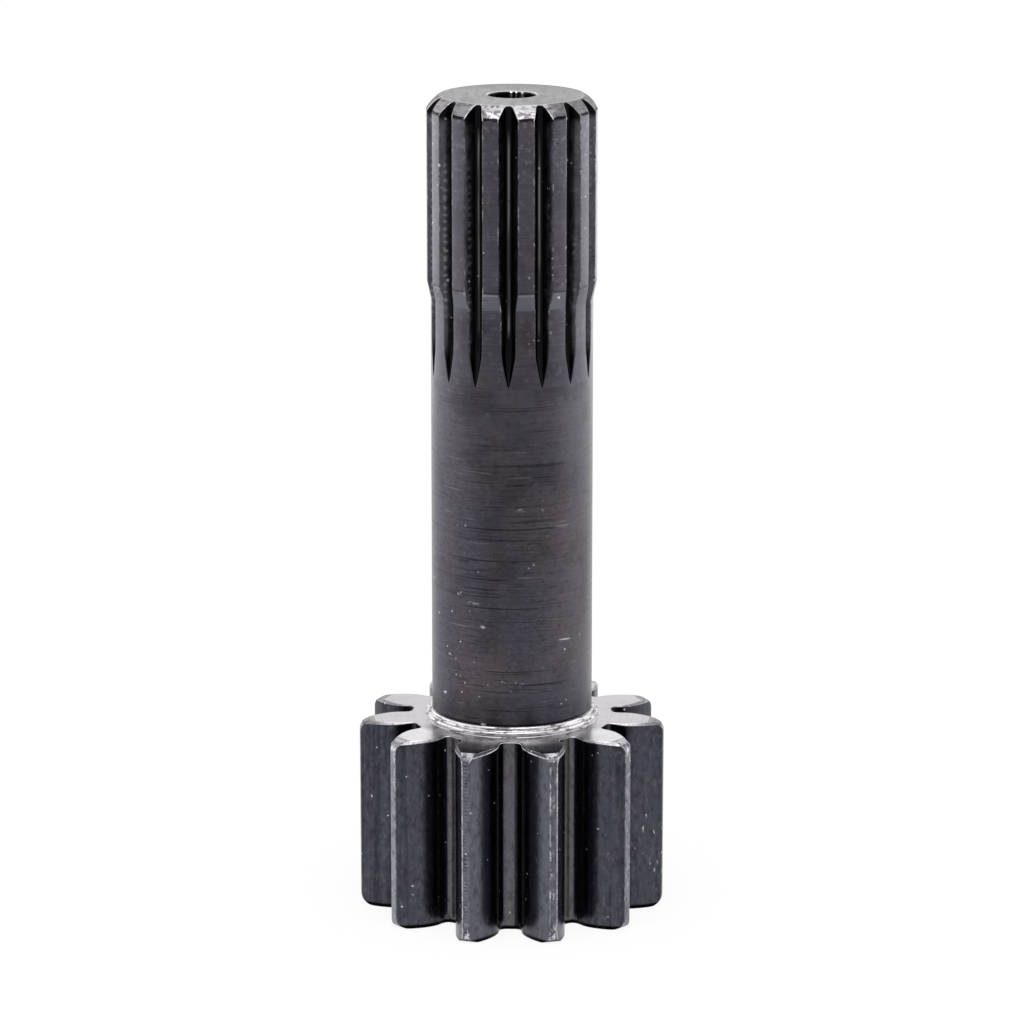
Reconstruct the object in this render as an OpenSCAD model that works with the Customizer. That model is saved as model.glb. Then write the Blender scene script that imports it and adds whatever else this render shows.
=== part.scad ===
// Drive shaft with a hobbed pinion at its lower end and a stub spline at its upper end.
// It is one steel forging, turned between centres and then hobbed at both ends.
// The origin is on the axis, at the pinion's lower face, and +Z runs up the shaft.

/* [Shaft] */
// Length from the pinion's lower face to the splined end face
total_l = 203; // [170:1:260]
// Diameter of the plain shaft
shaft_d = 39.6; // [32:0.2:48]

/* [Pinion] */
// Number of pinion teeth
pinion_teeth = 11; // [10:1:14]
// Module of the pinion teeth
pinion_module = 5.5; // [4.5:0.1:7]
// Profile shift of the pinion, in modules
pinion_shift = 0.41; // [0.2:0.01:0.5]
// Height of the teeth above the shifted pitch circle, in modules
pinion_addendum = 1; // [0.8:0.05:1.05]
// Depth of the tooth spaces below the shifted pitch circle, in modules
pinion_dedendum = 1.35; // [1.2:0.05:1.4]
// Radius of the fillet at the foot of each tooth
pinion_fillet = 1.65; // [0.6:0.05:2]
// Width of the pinion along the shaft
pinion_w = 48; // [30:1:70]
// Bevel along the edges of the teeth at their tips, on the upper face
tip_bevel = 0.9; // [0.3:0.1:1.2]
// The same bevel at the roots of the teeth
root_bevel = 0.15; // [0.1:0.05:0.5]
// Bevel along the edges of the teeth on the lower face, even from root to tip
lower_bevel = 0.2; // [0.1:0.05:0.6]
// Corner radius of the tips at the upper face
tip_upper_round = 2.6; // [0.5:0.1:4]
// Length of the shallow slope that leads from the upper face into that corner
tip_slope_l = 1; // [0.5:0.1:4]
// Fall of that slope
tip_slope_drop = 0.1; // [0.1:0.1:1]
// Corner radius of the tips at the lower face
tip_lower_round = 2.8; // [1:0.1:5]

/* [Collars] */
// How far the outer collar stands out from the inner one
outer_collar_rise = 0.95; // [0.5:0.05:1.5]
// How far the inner collar stands out from the shaft
inner_collar_rise = 0.65; // [0.3:0.05:1]
// Height of the outer collar above the pinion's upper face
outer_collar_h = 1.3; // [0.8:0.1:3]
// Height of the inner collar above the outer one
inner_collar_h = 1; // [0.8:0.1:3]
// Edge radius of both collars
collar_round = 0.4; // [0.1:0.05:0.5]

/* [Spline] */
// Number of spline teeth
spline_teeth = 15; // [12:1:18]
// Outside diameter of the spline
spline_d = 41.5; // [34:0.5:50]
// Profile shift of the spline, in modules
spline_shift = 0.8; // [0.6:0.05:0.9]
// Depth of the spline grooves
spline_depth = 3; // [2.4:0.1:3.6]
// Radius of the fillet at the foot of each spline tooth
spline_fillet = 0.9; // [0.3:0.05:1.2]
// Length of the full outside diameter, from the end face
spline_land_l = 45; // [35:1:55]
// Length of the cone that leads from the shaft up to the spline
spline_step_l = 4.3; // [2:0.1:8]
// Length of the full groove depth, from the end face
spline_cut_l = 57; // [45:1:70]
// Diameter of the hob that leaves the run-outs of the grooves
hob_d = 65; // [50:1:90]

/* [Ends] */
// Length and width of the chamfer round the splined end
end_chamfer = 3.2; // [2:0.1:4]
// How far that chamfer bulges beyond a straight cone
end_crown = 0.32; // [0.1:0.02:0.5]
// Diameter of the bore in the splined end
bore_d = 11.5; // [6:0.1:16]
// Depth of the bore's round wall
bore_l = 22; // [10:1:60]
// Width of the chamfer at the bore's mouth
bore_chamfer = 0.4; // [0.2:0.1:1]
// Diameter of the lathe centre's pilot hole in the pinion's lower face
centre_pilot_d = 5; // [3:0.1:8]
// Depth of the pilot hole below the countersink
centre_pilot_l = 6; // [3:0.5:12]
// Diameter of the lathe centre's 60 degree countersink
centre_mouth_d = 10.6; // [9:0.1:16]

/* [Hidden] */

// Pressure angle of both sets of teeth
pressure_angle = 20;
// Included angle of a twist drill's point
drill_point_angle = 118;
// Included angle of a lathe centre
lathe_centre_angle = 60;
// Turn of the tooth space and of the spline groove that face the front
pinion_turn = -90;
spline_turn = -91.6;
// How far a cutter reaches past the surface that it cuts
clearance = 1;
// How far the flanks and the bevels of a cutter run on past the edges that they make
cutter_lead = 0.3;

shaft_r = shaft_d / 2;
inner_collar_r = shaft_r + inner_collar_rise;
outer_collar_r = inner_collar_r + outer_collar_rise;
collars_z = pinion_w + outer_collar_h + inner_collar_h;

pinion_pitch_r = pinion_module * pinion_teeth / 2;
pinion_tip_r = pinion_pitch_r + pinion_module * (pinion_shift + pinion_addendum);
pinion_root_r = pinion_pitch_r + pinion_module * (pinion_shift - pinion_dedendum);

spline_r = spline_d / 2;
spline_root_r = spline_r - spline_depth;
spline_module = spline_d / (spline_teeth + 2 * spline_shift);
spline_cut_z = total_l - spline_cut_l;
spline_land_z = total_l - spline_land_l;
hob_r = hob_d / 2;
// The run-outs end where the hob leaves the thickest part that they cross
run_out_reach_r = max(spline_r, shaft_r) + clearance;
run_out_angle = acos((hob_r - (run_out_reach_r - spline_root_r)) / hob_r);

$fn = 96;
pinion_flank_steps = 8;
spline_flank_steps = 5;
fillet_steps = 4;
round_steps = 6;

// Points of an arc round a centre, from one angle to another
function arc(centre, radius, from, to, steps) =
    [for (i = [0 : steps]) let (a = from + (to - from) * i / steps)
        centre + radius * [cos(a), sin(a)]];

// Points of a shallow arc from p to q that bulges to the right of that line
function crowned(p, q, bulge, steps) =
    let (
        chord = norm(q - p),
        radius = (chord * chord / 4 + bulge * bulge) / (2 * bulge),
        along = (q - p) / chord,
        out = [along[1], -along[0]],
        centre = (p + q) / 2 + out * (bulge - radius),
        half = asin(chord / 2 / radius),
        middle = atan2(out[1], out[0])
    )
    arc(centre, radius, middle - half, middle + half, steps);

// Involute function, in degrees
function involute(a) = tan(a) * 180 / PI - a;

// Half angle of a tooth space at the base circle
function base_space(teeth, shift) =
    180 / teeth - (90 + 2 * shift * tan(pressure_angle) * 180 / PI) / teeth - involute(pressure_angle);

// Point of a flank, and its normal into the tooth, where the involute has rolled through an angle
function flank_point(base_r, space, roll) =
    let (a = space + roll)
    base_r * [cos(a), sin(a)] + base_r * roll * PI / 180 * [sin(a), -cos(a)];
function flank_normal(space, roll) = [-sin(space + roll), cos(space + roll)];

// Roll where the fillet meets the flank, or 0 where it meets the radial foot below the base circle
function fillet_roll(base_r, root_r, fillet) =
    let (square = pow(root_r + fillet, 2) - base_r * base_r)
    square <= fillet * fillet ? 0 : (sqrt(square) - fillet) / base_r * 180 / PI;
function fillet_centre(base_r, root_r, space, fillet) =
    let (
        roll = fillet_roll(base_r, root_r, fillet),
        foot_r = sqrt(pow(root_r + fillet, 2) - fillet * fillet),
        end = roll > 0 ? flank_point(base_r, space, roll) : foot_r * [cos(space), sin(space)]
    )
    end - fillet * flank_normal(space, roll);

// The largest fillet up to the wanted one that still fits between two flanks
function fitting_fillet(base_r, root_r, space, fillet) =
    fillet_centre(base_r, root_r, space, fillet)[1] >= 0 ? fillet
        : fitting_fillet(base_r, root_r, space, fillet * 0.95);

// One side of a tooth space from its root outwards, with the middle of the space on +X
function space_side(teeth, tooth_module, shift, root_r, out_r, wanted_fillet, steps) =
    let (
        base_r = tooth_module * teeth / 2 * cos(pressure_angle),
        space = base_space(teeth, shift),
        fillet = fitting_fillet(base_r, root_r, space, wanted_fillet),
        centre = fillet_centre(base_r, root_r, space, fillet),
        first = fillet_roll(base_r, root_r, fillet),
        last = sqrt(pow(out_r / base_r, 2) - 1) * 180 / PI
    )
    concat(
        arc(centre, fillet, atan2(centre[1], centre[0]) + 180, space + first + 90, fillet_steps),
        [for (i = [(first > 0 ? 1 : 0) : steps])
            flank_point(base_r, space, first + (last - first) * i / steps)]
    );

// Whole outline of a tooth space, clockwise from the middle of its root, and open as far as reach_r
function space_outline(side, root_r, reach_r) =
    let (n = len(side))
    concat(
        [[root_r, 0]],
        side,
        [[reach_r, side[n - 1][1]], [reach_r, -side[n - 1][1]]],
        [for (i = [n - 1 : -1 : 0]) [side[i][0], -side[i][1]]]
    );

// Outward normal of an outline's side from p to q
function side_normal(p, q) = let (along = (q - p) / norm(q - p)) [-along[1], along[0]];

// For each corner of an outline, the move that shifts both of its sides outwards by 1
function mitres(outline) =
    let (n = len(outline))
    [for (i = [0 : n - 1])
        let (
            before = side_normal(outline[(i + n - 1) % n], outline[i]),
            after = side_normal(outline[i], outline[(i + 1) % n])
        )
        (before + after) / (1 + before * after)];

pinion_outline = space_outline(
    space_side(pinion_teeth, pinion_module, pinion_shift, pinion_root_r,
        pinion_tip_r + cutter_lead, pinion_fillet, pinion_flank_steps),
    pinion_root_r, pinion_tip_r + clearance);
spline_outline = space_outline(
    space_side(spline_teeth, spline_module, spline_shift, spline_root_r,
        run_out_reach_r, spline_fillet, spline_flank_steps),
    spline_root_r, run_out_reach_r + clearance);

// The forging as it leaves the lathe, before any tooth is cut
module turned_blank() {
    collar_arc = function (radius, z)
        arc([radius - collar_round, z - collar_round], collar_round, 0, 90, fillet_steps);
    rotate_extrude()
        polygon(concat(
            [[0, 0]],
            arc([pinion_tip_r - tip_lower_round, tip_lower_round], tip_lower_round, -90, 0, round_steps),
            arc([pinion_tip_r - tip_upper_round, pinion_w - tip_slope_drop - tip_upper_round],
                tip_upper_round, 0, 90, round_steps),
            [[pinion_tip_r - tip_upper_round - tip_slope_l, pinion_w], [outer_collar_r, pinion_w]],
            collar_arc(outer_collar_r, pinion_w + outer_collar_h),
            [[inner_collar_r, pinion_w + outer_collar_h]],
            collar_arc(inner_collar_r, collars_z),
            [
                [shaft_r, collars_z],
                [shaft_r, spline_land_z - spline_step_l],
                [spline_r, spline_land_z]
            ],
            crowned([spline_r, total_l - end_chamfer], [spline_r - end_chamfer, total_l],
                end_crown, round_steps),
            [[0, total_l]]
        ));
}

module pinion_spaces() {
    for (i = [0 : pinion_teeth - 1])
        rotate([0, 0, pinion_turn + i * 360 / pinion_teeth])
            translate([0, 0, -clearance])
                linear_extrude(height = collars_z + 2 * clearance)
                    polygon(pinion_outline);
}

// A tapered plug that bevels the edges of one tooth space at the face z = 0
module bevel_plug(at_root, at_tip) {
    n = len(pinion_outline);
    half = (n - 1) / 2;
    moves = mitres(pinion_outline);
    bevel = [for (p = pinion_outline)
        at_root + (at_tip - at_root) * (norm(p) - pinion_root_r) / (pinion_tip_r - pinion_root_r)];
    lower = [for (i = [0 : n - 1]) pinion_outline[i] - cutter_lead * moves[i]];
    upper = [for (i = [0 : n - 1]) pinion_outline[i] + (bevel[i] + cutter_lead) * moves[i]];
    // Each end is a strip of faces between the two flanks, because the whole outline isn't convex
    polyhedron(
        points = concat(
            [for (i = [0 : n - 1]) [lower[i][0], lower[i][1], -bevel[i] - cutter_lead]],
            [for (p = upper) [p[0], p[1], cutter_lead]]
        ),
        faces = concat(
            [[0, 1, n - 1], [n, 2 * n - 1, n + 1]],
            [for (i = [1 : half - 1]) [i, i + 1, n - 1 - i, n - i]],
            [for (i = [1 : half - 1]) [2 * n - i, 2 * n - 1 - i, n + i + 1, n + i]],
            [for (i = [0 : n - 1]) let (j = (i + 1) % n) [i, n + i, n + j, j]]
        )
    );
}

module tooth_bevels() {
    for (i = [0 : pinion_teeth - 1])
        rotate([0, 0, pinion_turn + i * 360 / pinion_teeth]) {
            translate([0, 0, pinion_w])
                bevel_plug(root_bevel, tip_bevel);
            mirror([0, 0, 1])
                bevel_plug(lower_bevel, lower_bevel);
        }
}

// One groove: straight from the end face, then out along the hob's circle
module spline_groove() {
    translate([0, 0, spline_cut_z])
        linear_extrude(height = spline_cut_l + clearance)
            polygon(spline_outline);
    translate([spline_root_r + hob_r, 0, spline_cut_z])
        rotate([90, 0, 0])
            rotate_extrude(angle = run_out_angle, start = 180)
                polygon([for (p = spline_outline) [spline_root_r + hob_r - p[0], p[1]]]);
}

module spline_grooves() {
    for (i = [0 : spline_teeth - 1])
        rotate([0, 0, spline_turn + i * 360 / spline_teeth])
            spline_groove();
}

// Blind bore in the splined end, with a drill point
module end_bore() {
    bore_r = bore_d / 2;
    point_l = bore_r / tan(drill_point_angle / 2);
    rotate_extrude()
        polygon([
            [0, total_l - bore_l - point_l],
            [bore_r, total_l - bore_l],
            [bore_r, total_l - bore_chamfer],
            [bore_r + bore_chamfer + clearance, total_l + clearance],
            [0, total_l + clearance]
        ]);
}

// Lathe centre in the pinion's lower face: a pilot hole under a 60 degree countersink
module lathe_centre() {
    pilot_r = centre_pilot_d / 2;
    mouth_r = centre_mouth_d / 2;
    slope = tan(lathe_centre_angle / 2);
    sink_l = (mouth_r - pilot_r) / slope;
    rotate_extrude()
        polygon([
            [0, -clearance],
            [mouth_r + clearance * slope, -clearance],
            [pilot_r, sink_l],
            [pilot_r, sink_l + centre_pilot_l],
            [0, sink_l + centre_pilot_l + pilot_r / tan(drill_point_angle / 2)]
        ]);
}

module drive_shaft() {
    color("dimgray")
        difference() {
            turned_blank();
            pinion_spaces();
            tooth_bevels();
            spline_grooves();
            end_bore();
            lathe_centre();
        }
}

drive_shaft();
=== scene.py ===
import math

import bpy
import numpy as np
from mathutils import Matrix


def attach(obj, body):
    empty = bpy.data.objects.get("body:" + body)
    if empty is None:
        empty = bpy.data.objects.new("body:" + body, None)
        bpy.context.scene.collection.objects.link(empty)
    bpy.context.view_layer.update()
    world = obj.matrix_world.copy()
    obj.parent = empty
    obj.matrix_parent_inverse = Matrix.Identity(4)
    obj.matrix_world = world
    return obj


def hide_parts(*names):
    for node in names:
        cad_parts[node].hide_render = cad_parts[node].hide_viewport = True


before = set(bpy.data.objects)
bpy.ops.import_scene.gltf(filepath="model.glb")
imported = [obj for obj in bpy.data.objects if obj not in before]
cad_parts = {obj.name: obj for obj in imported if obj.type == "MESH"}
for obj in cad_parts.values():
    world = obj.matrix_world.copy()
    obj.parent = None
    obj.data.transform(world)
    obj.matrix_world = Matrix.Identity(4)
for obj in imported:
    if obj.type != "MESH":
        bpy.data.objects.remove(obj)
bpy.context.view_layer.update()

print("frame loaded")

mm = 0.001  # everything below is worked out in millimetres, and Blender gets metres
scene = bpy.context.scene
scene.view_settings.view_transform = "Standard"


# Shader maths: a Field is a socket, and an operator between fields or numbers adds one Math node
class Field:
    def __init__(self, graph, socket):
        self.graph = graph
        self.socket = socket

    def __add__(self, other):
        return self.graph.maths("ADD", self, other)

    def __radd__(self, other):
        return self.graph.maths("ADD", other, self)

    def __sub__(self, other):
        return self.graph.maths("SUBTRACT", self, other)

    def __rsub__(self, other):
        return self.graph.maths("SUBTRACT", other, self)

    def __mul__(self, other):
        return self.graph.maths("MULTIPLY", self, other)

    def __rmul__(self, other):
        return self.graph.maths("MULTIPLY", other, self)

    def __truediv__(self, other):
        return self.graph.maths("DIVIDE", self, other)

    def __rtruediv__(self, other):
        return self.graph.maths("DIVIDE", other, self)

    def larger(self, other):
        return self.graph.maths("MAXIMUM", self, other)

    def magnitude(self):
        return self.graph.maths("ABSOLUTE", self)

    # 0 below the first place, 1 above the second, and a smooth climb between them. The places are numbers, or
    # the name that they have in the graph's look.
    def climb(self, *places):
        low, high = self.graph.numbers(places)
        made = self.graph.add(
            "ShaderNodeMapRange",
            {"interpolation_type": "SMOOTHSTEP"},
            {"Value": self, "From Min": low, "From Max": high},
        )
        return made.out("Result")

    # 1 below the first place and 0 above the second
    def fall(self, *places):
        return 1 - self.climb(*places)

    # 1 between the inner two of four places, and 0 outside the outer two
    def window(self, *places):
        start, full, fading, gone = self.graph.numbers(places)
        return self.climb(start, full) * self.fall(fading, gone)


class Node:
    def __init__(self, graph, node):
        self.graph = graph
        self.node = node

    def out(self, name):
        return Field(self.graph, self.node.outputs[name])


class Graph:
    def __init__(self, tree, look):
        self.tree = tree
        self.look = look
        tree.nodes.clear()

    # Numbers as they are given, or as the look has them under a name
    def numbers(self, given):
        return self.look[given[0]] if isinstance(given[0], str) else given

    # Any node: its type, its settings (set first), then the values or links of its sockets
    def add(self, kind, settings=None, sockets=None):
        node = self.tree.nodes.new(kind)
        for name, value in (settings or {}).items():
            setattr(node, name, value)
        for name, value in (sockets or {}).items():
            if isinstance(value, Field):
                self.tree.links.new(value.socket, node.inputs[name])
            else:
                node.inputs[name].default_value = value
        return Node(self, node)

    def maths(self, operation, first, second=0.0):
        return self.add("ShaderNodeMath", {"operation": operation}, {0: first, 1: second}).out("Value")

    # Waves per metre, detail and roughness, and at times a factor of the waves for each of x, y and z
    def noise(self, where, *given):
        waves, detail, rough, *times = self.numbers(given)
        if times:
            where = self.mapped(where, *times)
        sockets = {"Vector": where, "Scale": waves, "Detail": detail, "Roughness": rough}
        return self.add("ShaderNodeTexNoise", {}, sockets).out("Fac")

    def noises(self, where, *names):
        return (self.noise(where, name) for name in names)

    # Stretches, turns or shifts the coordinates
    def mapped(self, where, scale, rotation=(0, 0, 0), location=(0, 0, 0)):
        return self.add(
            "ShaderNodeMapping",
            {},
            {"Vector": where, "Scale": scale, "Location": location, "Rotation": rotation},
        ).out("Vector")

    def combine(self, x, y, z):
        return self.add("ShaderNodeCombineXYZ", {}, {"X": x, "Y": y, "Z": z}).out("Vector")

    def split(self, vector):
        parts = self.add("ShaderNodeSeparateXYZ", {}, {"Vector": vector})
        return parts.out("X"), parts.out("Y"), parts.out("Z")

    # Sockets 0, 6 and 7 of a colour Mix node are its factor and its two colours
    def blend(self, share, first, second):
        first, second = (c if isinstance(c, Field) else (*c, 1) for c in (first, second))
        made = self.add("ShaderNodeMix", {"data_type": "RGBA"}, {0: share, 6: first, 7: second})
        return Field(self, made.node.outputs[2])

    # Lays named finishes over a tone, one after the other, each as far as its mask says
    def layered(self, tone, *layers):
        for mask, name in layers:
            tone = self.blend(mask, tone, finish[name])
        return tone

    def attribute(self, name):
        return self.add("ShaderNodeAttribute", {"attribute_name": name}, {}).out("Fac")

    def bump(self, height, depth, strength):
        sockets = {"Height": height, "Distance": depth, "Strength": strength}
        return self.add("ShaderNodeBump", {}, sockets).out("Normal")

    def objectPlace(self):
        return self.add("ShaderNodeTexCoord").out("Object")


def newMaterial(name, look):
    material = bpy.data.materials.new(name)
    material.use_nodes = True
    return material, Graph(material.node_tree, look)


def addSurface(graph, sockets):
    surface = graph.add("ShaderNodeBsdfPrincipled", {}, sockets)
    graph.add("ShaderNodeOutputMaterial", {}, {"Surface": surface.out("BSDF")})


# Camera: where the photograph was taken from, worked out from the shaft's outlines
cameraView = {
    "distance": 1068.3,  # from the shaft's axis
    "height": 363.4,  # above the pinion's lower face
    "down": 13.874,  # degrees below the horizon
    "round": 0.898,  # degrees round to the right of the tooth space at the front
    "lens": 157.21,
}


def addCamera():
    data = bpy.data.cameras.new("camera")
    data.lens = cameraView["lens"]
    data.sensor_width = 36
    data.clip_start = 0.01
    camera = bpy.data.objects.new("camera", data)
    scene.collection.objects.link(camera)
    turn = math.radians(cameraView["round"])
    camera.location = (
        cameraView["distance"] * math.sin(turn) * mm,
        -cameraView["distance"] * math.cos(turn) * mm,
        cameraView["height"] * mm,
    )
    camera.rotation_euler = (math.radians(90 - cameraView["down"]), 0, turn)
    scene.camera = camera


addCamera()
print("camera placed")


# The forging
forging = {
    "length": 203.0,
    "shaftRadius": 19.8,
    "pinionWidth": 48.0,
    "tipSlopeLength": 1.0,
    "tipSlopeDrop": 0.1,
    "tipUpperRound": 2.6,
    "tipLowerRound": 2.8,
    "tipBevel": 0.9,
    "rootBevel": 0.15,
    "lowerBevel": 0.2,
    "outerCollar": (21.4, 49.3),  # radius and height of its top
    "innerCollar": (20.45, 50.3),
    "collarRound": 0.4,
    "hobRadius": 32.5,
    "fullGroove": 146.0,  # height where the grooves start to run out
    "tipNarrowing": 7.5,  # length over which their ends narrow
    "tipWidth": 0.08,  # share of the width that is left at the very end
    "stepFoot": 153.7,
    "stepTop": 158.0,
    "endChamfer": 3.2,
    "endCrown": 0.32,
    "boreRadius": 5.75,
    "boreDepth": 22.0,
    "boreChamfer": 0.4,
    "centreRadius": 2.5,
    "centreDepth": 6.0,
    "centreMouth": 5.3,
}
pinion = {
    "teeth": 11,
    "module": 5.5,
    "rootRadius": 25.08,
    "tipRadius": 38.0,
    "shift": 0.41,
    "fillet": 1.65,
    "turn": -90.0,
    "corner": 0.26,  # how far the rounding of a tooth's edge reaches
    "steps": (3, 6, 10, 6, 5),  # columns over the root, fillet, flank, edge and land of half a tooth
}
spline = {
    "teeth": 15,
    "module": 2.5,
    "rootRadius": 17.75,
    "tipRadius": 20.75,
    "shift": 0.8,
    "fillet": 0.9,
    "turn": -91.6,
    "corner": 0.22,
    "steps": (2, 5, 5, 5, 5),
}
# Where the mesh has its rings: heights and lengths in mm, angles in degrees, the rest shares of the way.
# Beside each sharp edge a second ring lies close to the first, which keeps its shading crisp.
rings = {
    "close": 0.1,
    "closeOnCone": 0.17,  # the same along the mouth of the lathe centre
    "closeOnStep": 0.2,
    "inset": 0.15,  # how far the outermost ring of a face is inside its outline
    "outside": 0.12,  # how far its innermost ring is outside the collar or the lathe centre
    "lowerFace": (1, 0.93, 0.8, 0.64, 0.48, 0.32, 0.16, 0.05, 0),
    "lowerRound": (5, 10, 15, 21, 27, 33, 40, 48, 57, 67, 78, 90),
    "pinionWall": (9.0, 17.0, 25.0, 33.0, 41.0, 44.0),
    "upperRound": (0, 12, 28, 43, 50.2, 60, 70, 80, 90),
    "upperRoundRub": (0, 0, 0, 0.15, 0.4, 0.8, 1, 1, 1),  # how far the lands are rubbed there
    "tipSlope": (0.04, 0.25, 0.5, 0.75, 0.95),
    "upperFace": (0, 0.05, 0.16, 0.34, 0.52, 0.7, 0.86, 1),
    "collarRound": (0, 22, 45, 68, 90),
    "shaftFoot": (0.12, 0.72, 6.12),  # above the collar
    "shaft": (64.0, 76.0, 90.0, 104.0, 118.0, 127.0),
    "settle": 12.0,  # length over which the columns leave the pinion's order
    "approach": 3.0,  # length over which they gather at the tips of the run-outs
    "approachShares": (0.4, 0.7, 0.9),
    "runOut": (0, 0.04, 0.14, 0.3, 0.55, 0.9, 1.4, 2.1, 3.0, 4.2, 5.6, 7.2, 9.0),  # above its tip
    "belowStep": 150.0,
    "onStep": 156.0,
    "splineWall": (163.0, 172.0, 181.0, 190.0, 197.0),
    "endChamfer": 12,  # how many
    "endFace": (0.03, 0.3, 0.6, 0.98, 1),
    "boreBevel": 0.45,
    "boreWall": 7.0,  # from both of its ends
    "borePoint": (0.03, 0.6),
}
columnCount = 660  # 11 x 60 and 15 x 44, so one grid fits both sets of teeth
pinionColumns = 60  # for each tooth
lean = {"columns": 9, "share": 0.3}  # how a face's columns lean towards the middle of a tooth
curvePoints = {"root": 20, "fillet": 60, "foot": 24, "flank": 240}
beyondTip = 1.5  # how far the computed flank goes on past the tips
cornerShare = 0.3  # an edge's rounding takes at most this share of the side and of the land
pressureAngle = math.radians(20)
drillPoint = math.radians(59)  # half the angle of a drill's point
centrePoint = math.radians(30)  # half the angle of a lathe centre


def unit(angle):
    return np.stack([np.cos(angle), np.sin(angle)], -1)


# Half of a tooth space with its middle on +X, from the root outwards, with normals into the tooth.
# Flank: base radius x [cos b, sin b] + base radius x roll x [sin b, -cos b], where b is half the space at
# the base circle plus the roll. Fillet: an arc that touches the root circle and the flank, or the radial line
# that carries the flank on inside the base circle.
def addSide(cut):
    base = cut["module"] * cut["teeth"] / 2 * math.cos(pressureAngle)
    halfTooth = (math.pi / 2 + 2 * cut["shift"] * math.tan(pressureAngle)) / cut["teeth"]
    space = math.pi / cut["teeth"] - halfTooth - (math.tan(pressureAngle) - pressureAngle)
    root, fillet = cut["rootRadius"], cut["fillet"]
    square = (root + fillet) ** 2 - base ** 2
    firstRoll = (math.sqrt(square) - fillet) / base if square > fillet ** 2 else 0.0
    lastRoll = math.sqrt(((cut["tipRadius"] + beyondTip) / base) ** 2 - 1)

    roll = np.linspace(firstRoll, lastRoll, curvePoints["flank"])
    around, across = unit(space + roll), unit(space + roll - math.pi / 2)
    flank = base * around + base * roll[:, None] * across
    footRadius = math.sqrt((root + fillet) ** 2 - fillet ** 2)
    foot = np.linspace(footRadius, base, curvePoints["foot"])[:-1, None] * unit(space)
    if firstRoll > 0:
        foot = foot[:0]
    end = foot[0] if firstRoll == 0 else flank[0]
    centre = end - fillet * unit(space + firstRoll + math.pi / 2)
    middle = math.atan2(centre[1], centre[0])
    rootAngle = np.linspace(0, middle, curvePoints["root"])
    rootArc = root * unit(rootAngle)
    bend = np.linspace(middle + math.pi, space + firstRoll + math.pi / 2, curvePoints["fillet"])
    filletArc = centre + fillet * unit(bend)

    cut["side"] = np.concatenate([rootArc[:-1], filletArc[:-1], foot, flank])
    cut["normal"] = np.concatenate([
        -unit(rootAngle)[:-1],
        unit(bend)[:-1],
        np.tile(unit(space + math.pi / 2), (len(foot), 1)),
        unit(space + roll + math.pi / 2),
    ])
    cut["rootEnd"] = len(rootArc) - 1
    cut["halfPitch"] = math.pi / cut["teeth"]

    # Shares of a side's length at which its columns stand
    rootEnd = cut["rootEnd"]
    length = lengthAlong(cut["side"])
    full = np.interp(cut["tipRadius"], np.linalg.norm(cut["side"], axis=1)[rootEnd:], length[rootEnd:])
    ends = [0, length[rootEnd], length[rootEnd + len(filletArc) - 1], full - cut["corner"]]
    columns = [np.linspace(a, b, n, endpoint=False) for a, b, n in zip(ends, ends[1:], cut["steps"])]
    cut["shares"] = np.concatenate(columns + [[ends[-1]]]) / ends[-1]


def lengthAlong(points):
    return np.concatenate([[0], np.cumsum(np.linalg.norm(np.diff(points, axis=0), axis=1))])


# One ring round a toothed length, cut off at the turned radius. growth widens the space along its normals,
# pushed moves it outwards, as a hob does when it leaves the work, and narrowed is the share of its width that
# is left. Edge: (1 - t)^2 x end of the flank + 2 t (1 - t) x sharp edge + t^2 x start of the land.
def toothedRing(cut, radius, growth=0.0, pushed=0.0, narrowed=1.0):
    side = cut["side"] + np.broadcast_to(growth, len(cut["side"]))[:, None] * cut["normal"]
    side = side * np.array([1.0, narrowed]) + np.array([pushed, 0.0])
    far = np.linalg.norm(side, axis=1)
    length = lengthAlong(side)
    inside = np.flatnonzero(far < radius)
    last = max(inside[-1] if len(inside) else 0, cut["rootEnd"])
    share = np.clip((radius - far[last]) / (far[last + 1] - far[last]), 0, 1)
    reach = length[last] + share * (length[last + 1] - length[last])
    corner = min(cut["corner"], cornerShare * reach)

    def at(place):
        return np.stack([np.interp(place, length, side[:, 0]), np.interp(place, length, side[:, 1])], -1)

    flank = at(cut["shares"] * (reach - corner))
    sharp = at(np.array(reach))
    edgeAngle = math.atan2(sharp[1], sharp[0])
    landStart = edgeAngle + min(corner / radius, cornerShare * (cut["halfPitch"] - edgeAngle))
    land = radius * unit(np.linspace(landStart, cut["halfPitch"], cut["steps"][4] + 1))
    t = np.linspace(0, 1, cut["steps"][3] + 1)[1:-1, None]
    edge = (1 - t) ** 2 * flank[-1] + 2 * t * (1 - t) * sharp + t ** 2 * land[0]
    points = np.concatenate([flank, edge, land])
    worn = np.concatenate([np.zeros(len(flank)), np.sin(math.pi * t[:, 0]), np.zeros(len(land))])
    milled = np.concatenate([np.ones(len(flank)), 1 - t[:, 0], np.zeros(len(land))])

    r = np.minimum(np.linalg.norm(points, axis=1), radius)
    angle = np.arctan2(points[:, 1], points[:, 0])
    depth = np.clip((cut["tipRadius"] - r) / (cut["tipRadius"] - cut["rootRadius"]), 0, 1)
    halfMarks = {"depth": depth, "wear": worn, "milled": milled, "across": angle * r}
    marks = {name: repeated(cut, half) for name, half in halfMarks.items()}
    return repeated(cut, r), roundAngles(cut, angle), marks


def repeated(cut, half):
    return np.tile(np.concatenate([half, half[-2:0:-1]]), cut["teeth"])


def roundAngles(cut, half):
    pitch = 2 * cut["halfPitch"]
    one = np.concatenate([half, pitch - half[-2:0:-1]])
    every = np.arange(cut["teeth"])[:, None] * pitch + one
    return math.radians(cut["turn"]) + every.ravel()


addSide(pinion)
addSide(spline)


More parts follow.
